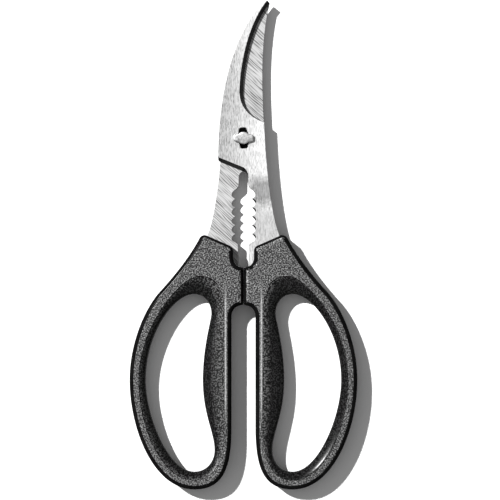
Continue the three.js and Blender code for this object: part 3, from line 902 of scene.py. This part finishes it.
def grind_marks():
    """Dark scratches along the vector's Y axis, so many to the metre and so many times as long as wide."""
    group, given, result = new_group(
        "grind_marks",
        {"Vector": "NodeSocketVector", "Fineness": "NodeSocketFloat", "Length": "NodeSocketFloat"},
        {"Marks": "NodeSocketFloat"},
    )
    along = math_node(group, "DIVIDE", 1.0, given.outputs["Length"])
    stretch = add_node(group, "ShaderNodeCombineXYZ", X=1.0, Y=along, Z=1.0)
    stretched = add_node(group, "ShaderNodeVectorMath", {"operation": "MULTIPLY"})
    group.links.new(given.outputs["Vector"], stretched.inputs[0])
    group.links.new(stretch.outputs[0], stretched.inputs[1])
    lines = add_node(
        group,
        "ShaderNodeTexWave",
        Vector=stretched.outputs[0],
        Scale=math_node(group, "MULTIPLY", given.outputs["Fineness"], WAVE_LENGTH),
        Distortion=9.0,
        Detail=2.0,
        Detail_Scale=1.6,
    )
    broken = noise(group, stretched.outputs[0], given.outputs["Fineness"], 1)
    depth = math_node(group, "MULTIPLY", lines.outputs["Fac"], remap(group, broken, (0.35, 0.6), (0.1, 1)))
    group.links.new(math_node(group, "SUBTRACT", 1.0, depth), result.inputs["Marks"])
    return group


def handling_smudges():
    """Soft cloudy patches that dull or darken a surface a little."""
    group, given, result = new_group(
        "handling_smudges",
        {"Vector": "NodeSocketVector", "Patch": "NodeSocketFloat"},
        {"Smudge": "NodeSocketFloat"},
    )
    cloud = noise(group, given.outputs["Vector"], given.outputs["Patch"], 4, 0.55)
    group.links.new(remap(group, cloud, (0.4, 0.7), (0, 1)), result.inputs["Smudge"])
    return group


def place_group(tree, group, **values):
    made = tree.nodes.new("ShaderNodeGroup")
    made.node_tree = group
    for socket, value in values.items():
        fill_socket(tree, made.inputs[socket], value)
    return made.outputs


def new_material(name):
    """A material with its Principled shader and the piece's own coordinates."""
    material = bpy.data.materials.new(name)
    material.use_nodes = True
    tree = material.node_tree
    place = tree.nodes.new("ShaderNodeTexCoord").outputs["Object"]
    return material, tree, tree.nodes["Principled BSDF"], place


def graded(tree, share, ends):
    """A value that goes from one end to the other as the share goes from nought to one."""
    return remap(tree, share, (0, 1), ends)


def bump(tree, height, strength, distance):
    made = add_node(tree, "ShaderNodeBump", Strength=strength, Distance=distance * MM, Height=height)
    return made.outputs["Normal"]


def link_finish(tree, shader, shade, roughness, normal):
    for socket, value in (("Base Color", shade), ("Roughness", roughness), ("Normal", normal)):
        tree.links.new(value, shader.inputs[socket])


def ground_steel(name, turn, fineness, length, shades, roughness, relief, painted_light_share=0.0, spots=()):
    """Steel with grinding marks that run along Y, turned by an angle about Z.

    The painted light share is the part of the shade that grows towards +X, a painted brightening across the
    blade, and each spot darkens the steel's colour round a place.
    """
    material, tree, shader, place = new_material(name)
    turned = add_node(tree, "ShaderNodeMapping", Vector=place, Rotation=(0, 0, radians(turn))).outputs[0]
    marks = place_group(tree, GRIND_MARKS, Vector=turned, Fineness=fineness, Length=length)["Marks"]
    smudge = place_group(tree, HANDLING_SMUDGES, Vector=place, Patch=STEEL_SMUDGES)["Smudge"]
    tone = math_node(tree, "SUBTRACT", marks, math_node(tree, "MULTIPLY", smudge, SMUDGE_SHARE))
    # Painted light: the colour grows paler towards +X, standing in for the uneven light across the blade.
    marked = remap(tree, tone, (-SMUDGE_SHARE, 1), (0, 1 - painted_light_share))
    across = add_node(tree, "ShaderNodeSeparateXYZ", Vector=place).outputs["X"]
    painted_light_ramp = remap(tree, across, (-PAINTED_LIGHT_REACH * MM, PAINTED_LIGHT_REACH * MM), (0, painted_light_share))
    shade = graded(tree, math_node(tree, "ADD", marked, painted_light_ramp), shades)
    for centre, reach, fade, darkest in spots:
        clear = outside_spot(tree, place, centre, reach, fade)
        shade = math_node(tree, "MULTIPLY", shade, graded(tree, clear, (darkest, 1)))
    link_finish(tree, shader, shade, graded(tree, marks, roughness), bump(tree, marks, STEEL_BUMP, relief))
    shader.inputs["Metallic"].default_value = 1
    return material


def outside_spot(tree, place, centre, reach, fade):
    """Nought in a ragged round spot, seen along Z, and one further out."""
    flat = add_node(tree, "ShaderNodeVectorMath", {"operation": "MULTIPLY_ADD"})
    tree.links.new(place, flat.inputs[0])
    flat.inputs[1].default_value = (1, 1, 0)
    flat.inputs[2].default_value = (-centre[0] * MM, -centre[1] * MM, 0)
    distance = add_node(tree, "ShaderNodeVectorMath", {"operation": "LENGTH"})
    tree.links.new(flat.outputs[0], distance.inputs[0])
    ragged = math_node(tree, "MULTIPLY", noise(tree, place, SPOT_BORDER, 2), fade * MM)
    edge = math_node(tree, "ADD", distance.outputs["Value"], ragged)
    return remap(tree, edge, (reach * MM, (reach + fade) * MM), (0, 1))


def polished_steel(name, patch, shades):
    material, tree, shader, place = new_material(name)
    smudge = place_group(tree, HANDLING_SMUDGES, Vector=place, Patch=patch)["Smudge"]
    roughness = graded(tree, smudge, POLISH_ROUGHNESS)
    normal = bump(tree, smudge, STEEL_BUMP, POLISH_RELIEF)
    link_finish(tree, shader, graded(tree, smudge, shades), roughness, normal)
    shader.inputs["Metallic"].default_value = 1
    return material


def spark_plastic(name):
    """Black moulded plastic with a fine spark-eroded texture. Its pale specks are painted glints, and the
    pale strip along the inner bars is a painted highlight.
    """
    material, tree, shader, place = new_material(name)
    grain = noise(tree, place, PLASTIC_GRAIN, 1)
    # Painted glints: pale specks in the colour stand in for the glints of the textured face.
    speck = remap(tree, grain, SPARK_GLINT_SPECKS, (0, 1))
    # Painted highlight along the ridges of the inner bars.
    ridge_highlight = math_node(tree, "MULTIPLY", ridge_highlight_mask(tree, place), graded(tree, speck, RIDGE_TONES))
    tone = math_node(tree, "MAXIMUM", math_node(tree, "MULTIPLY", speck, SPARK_GLINT_TONE), ridge_highlight)
    smudge = place_group(tree, HANDLING_SMUDGES, Vector=place, Patch=SPARK_SMUDGES)["Smudge"]
    dulled = math_node(tree, "MULTIPLY", smudge, SMUDGE_DULLING)
    roughness = math_node(tree, "ADD", graded(tree, speck, SPARK_ROUGHNESS), dulled)
    link_finish(tree, shader, graded(tree, tone, SPARK_SHADES), roughness, bump(tree, grain, 1, SPARK_RELIEF))
    shader.inputs["Specular IOR Level"].default_value = SPARK_GLOSS
    return material


def ridge_highlight_mask(tree, place):
    """One along the ridge of each inner bar, where a highlight is painted, and nought beside it."""
    parts = add_node(tree, "ShaderNodeSeparateXYZ", Vector=place).outputs
    middle = (RIDGE_HIGHLIGHT[0] + RIDGE_HIGHLIGHT[1]) / 2 * MM
    half = (RIDGE_HIGHLIGHT[1] - RIDGE_HIGHLIGHT[0]) / 2 * MM
    sideways = math_node(tree, "ABSOLUTE", parts["X"])
    off_ridge = math_node(tree, "ABSOLUTE", math_node(tree, "SUBTRACT", sideways, middle))
    across = remap(tree, off_ridge, (half / 2, half), (1, 0))
    top, foot = (end * MM for end in RIDGE_ENDS)
    upper = remap(tree, parts["Y"], (top, top - RIDGE_FADES[0] * MM), (0, 1))
    lower = remap(tree, parts["Y"], (foot + RIDGE_FADES[1] * MM, foot), (1, 0))
    return math_node(tree, "MULTIPLY", across, math_node(tree, "MULTIPLY", upper, lower))


def dish_plastic(name, shade_depth):
    """The same plastic inside the dishes, its texture smoothed down deeper in and its colour darkened there,
    which is painted shade in the hollow.
    """
    material, tree, shader, place = new_material(name)
    grain = noise(tree, place, PLASTIC_GRAIN, 1)
    # Painted glints: pale specks in the dish's colour.
    speck = remap(tree, grain, DISH_GLINT_SPECKS, (0, 1))
    height = add_node(tree, "ShaderNodeSeparateXYZ", Vector=place).outputs["Z"]
    off_middle = math_node(tree, "ABSOLUTE", math_node(tree, "SUBTRACT", height, HALF_THICKNESS * MM))
    depth = math_node(tree, "SUBTRACT", HALF_THICKNESS * MM, off_middle)
    # Painted shade: the colour darkens with depth towards the hole; the same fade smooths the texture and
    # sets the roughness.
    rim_fade = remap(tree, depth, (0, shade_depth * MM), (1, LEAST_TEXTURE_AND_BRIGHTNESS))
    shade = graded(tree, math_node(tree, "MULTIPLY", speck, rim_fade), DISH_SHADES)
    texture = math_node(tree, "MULTIPLY", grain, rim_fade)
    normal = bump(tree, texture, 1, DISH_RELIEF)
    link_finish(tree, shader, shade, graded(tree, rim_fade, DISH_ROUGHNESS), normal)
    shader.inputs["Specular IOR Level"].default_value = DISH_GLOSS
    return material


def edge_plastic(name):
    """The same plastic where the mould is polished, on the rounded edges and the sides."""
    material, tree, shader, place = new_material(name)
    smudge = place_group(tree, HANDLING_SMUDGES, Vector=place, Patch=EDGE_SMUDGES)["Smudge"]
    roughness = graded(tree, smudge, EDGE_ROUGHNESS)
    normal = bump(tree, smudge, EDGE_BUMP, EDGE_RELIEF)
    link_finish(tree, shader, graded(tree, smudge, EDGE_SHADES), roughness, normal)
    shader.inputs["Specular IOR Level"].default_value = EDGE_GLOSS
    return material


def paper_white(name):
    material, tree, shader, place = new_material(name)
    cloud = noise(tree, place, FLOOR_CLOUDS, 3)
    tree.links.new(graded(tree, cloud, FLOOR_SHADES), shader.inputs["Base Color"])
    shader.inputs["Roughness"].default_value = FLOOR_ROUGHNESS
    shader.inputs["Specular IOR Level"].default_value = FLOOR_GLOSS
    return material


def finish(piece, body, slot, node, *materials):
    """Gives a piece its materials, and says which body carries it and which solid it stands for."""
    for material in materials:
        piece.data.materials.append(material)
    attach(piece, body)
    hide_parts(node)


# Studio

def add_light(name, kind, energy, location, **settings):
    data = bpy.data.lights.new(name, kind)
    data.energy = energy
    for setting, value in settings.items():
        setattr(data, setting, value)
    light = bpy.data.objects.new(name, data)
    light.location = location
    bpy.context.scene.collection.objects.link(light)
    return light


def room():
    """A dim room with a pale ceiling."""
    world = bpy.data.worlds.new("room")
    bpy.context.scene.world = world
    world.use_nodes = True
    tree = world.node_tree
    direction = tree.nodes.new("ShaderNodeTexCoord").outputs["Generated"]
    height = add_node(tree, "ShaderNodeSeparateXYZ", Vector=direction).outputs["Z"]
    ramp = add_node(tree, "ShaderNodeValToRGB", Fac=remap(tree, height, (-1, 1), (0, 1)))
    for stop, place, brightness in zip(ramp.color_ramp.elements, ROOM_STOPS, ROOM_SHADES):
        stop.position = place
        stop.color = (brightness, brightness, brightness, 1)
    tree.links.new(ramp.outputs["Color"], tree.nodes["Background"].inputs["Color"])


def studio():
    """A white floor and a key light from the upper left."""
    bpy.ops.object.select_all(action="DESELECT")
    bpy.ops.mesh.primitive_plane_add(size=FLOOR_SIZE, location=(0, 0, 0))
    floor = bpy.context.object
    floor.name = "floor"
    floor.data.transform(Matrix.Translation((0, 0, -FLOOR_DROP * MM)))
    floor.data.materials.append(paper_white("floor_paper"))
    floor.visible_glossy = False

    towards_key = Vector((-KEY_SLOPE[0], KEY_SLOPE[1], 1))
    key_light = add_light("key", "SUN", KEY_STRENGTH, towards_key, angle=radians(KEY_SPREAD))
    key_light.rotation_euler = towards_key.to_track_quat("Z", "Y").to_euler()


def camera():
    """Straight above, at the photograph's scale on the plane of the handles' faces."""
    data = bpy.data.cameras.new("camera")
    data.lens = LENS
    data.sensor_width = SENSOR
    view = bpy.data.objects.new("camera", data)
    distance = PIXEL * IMAGE_SIZE * LENS / SENSOR
    centre_x = (IMAGE_SIZE / 2 - PIVOT_PIXEL[0]) * PIXEL
    centre_y = (PIVOT_PIXEL[1] - IMAGE_SIZE / 2) * PIXEL
    view.location = Vector((centre_x, centre_y, VIEW_PLANE + distance)) * MM
    bpy.context.scene.collection.objects.link(view)
    bpy.context.scene.camera = view


GRIND_MARKS = grind_marks()
HANDLING_SMUDGES = handling_smudges()
front_steel = ground_steel(
    "front_blade_steel",
    turn=0,
    fineness=1800,
    length=3,
    shades=(0.11, 0.77),
    roughness=(0.72, 0.76),
    relief=0.012,
    # painted light share: a painted brightening of the colour towards +X
    painted_light_share=0.45,
    spots=(JAW_DARK_PATCH, JAW_FOOT_PAINTED_SHADE),
)
back_steel = ground_steel(
    "back_blade_steel",
    turn=-47,
    fineness=1150,
    length=9,
    shades=(0.1, 0.55),
    roughness=(0.72, 0.76),
    relief=0.012,
    # painted shade round the stud
    spots=(PIVOT_PAINTED_SHADE,),
)
# The bevels are real; their near-black colour is painted shade, standing in for the front blade's cast shadow
# and dark reflections beside its edges.
bevel_painted_shade_steel = ground_steel(
    "ground_edge_painted_shade",
    turn=60,
    fineness=1300,
    length=20,
    shades=(0.01, 0.04),
    roughness=(0.35, 0.42),
    relief=0.02,
)
# The dark patches in the lug's colour are painted reflections, standing in for the dark spots reflected in
# its polished face.
lug_painted_reflection_steel = polished_steel("lug_polish_painted_reflections", patch=700, shades=(0.9, 0.2))
button_steel = polished_steel("button_polish", patch=260, shades=(0.75, 0.5))
plastics = (spark_plastic("spark_plastic"), edge_plastic("edge_plastic"))
# Lit and shaded copies: the right dish's colour darkens sooner, painted shade for its slopes facing away from
# the key light.
right_dish = dish_plastic("right_dish_painted_shade", RIGHT_DISH_SHADE_DEPTH)
left_dish = dish_plastic("left_dish_painted_shade", LEFT_DISH_SHADE_DEPTH)

front_blade = blade("front_blade_steel", FRONT_PROFILE, keyhole_cutter(), True)
back_blade = blade("back_blade_steel", BACK_PROFILE, shank_cutter(), False)
finish(front_blade, "front_half", "blade_steel", "front_blade", front_steel, bevel_painted_shade_steel)
finish(back_blade, "back_half", "blade_steel", "back_blade", back_steel, bevel_painted_shade_steel)
finish(pivot_stud(), "back_half", "pivot_steel", "pivot_stud", lug_painted_reflection_steel)
finish(rivet_button(), "back_half", "pivot_steel", "rivet_button", button_steel)

right_handle = handle("right_handle_grip")
left_handle = right_handle.copy()
left_handle.data = right_handle.data.copy()
left_handle.name = "left_handle_grip"
bpy.context.scene.collection.objects.link(left_handle)
place_half(right_handle, True)
place_half(left_handle, False)
finish(right_handle, "front_half", "handle_plastic", "right_handle", *plastics, right_dish)
finish(left_handle, "back_half", "handle_plastic", "left_handle", *plastics, left_dish)

room()
studio()
camera()
bpy.context.scene.view_settings.view_transform = "Standard"
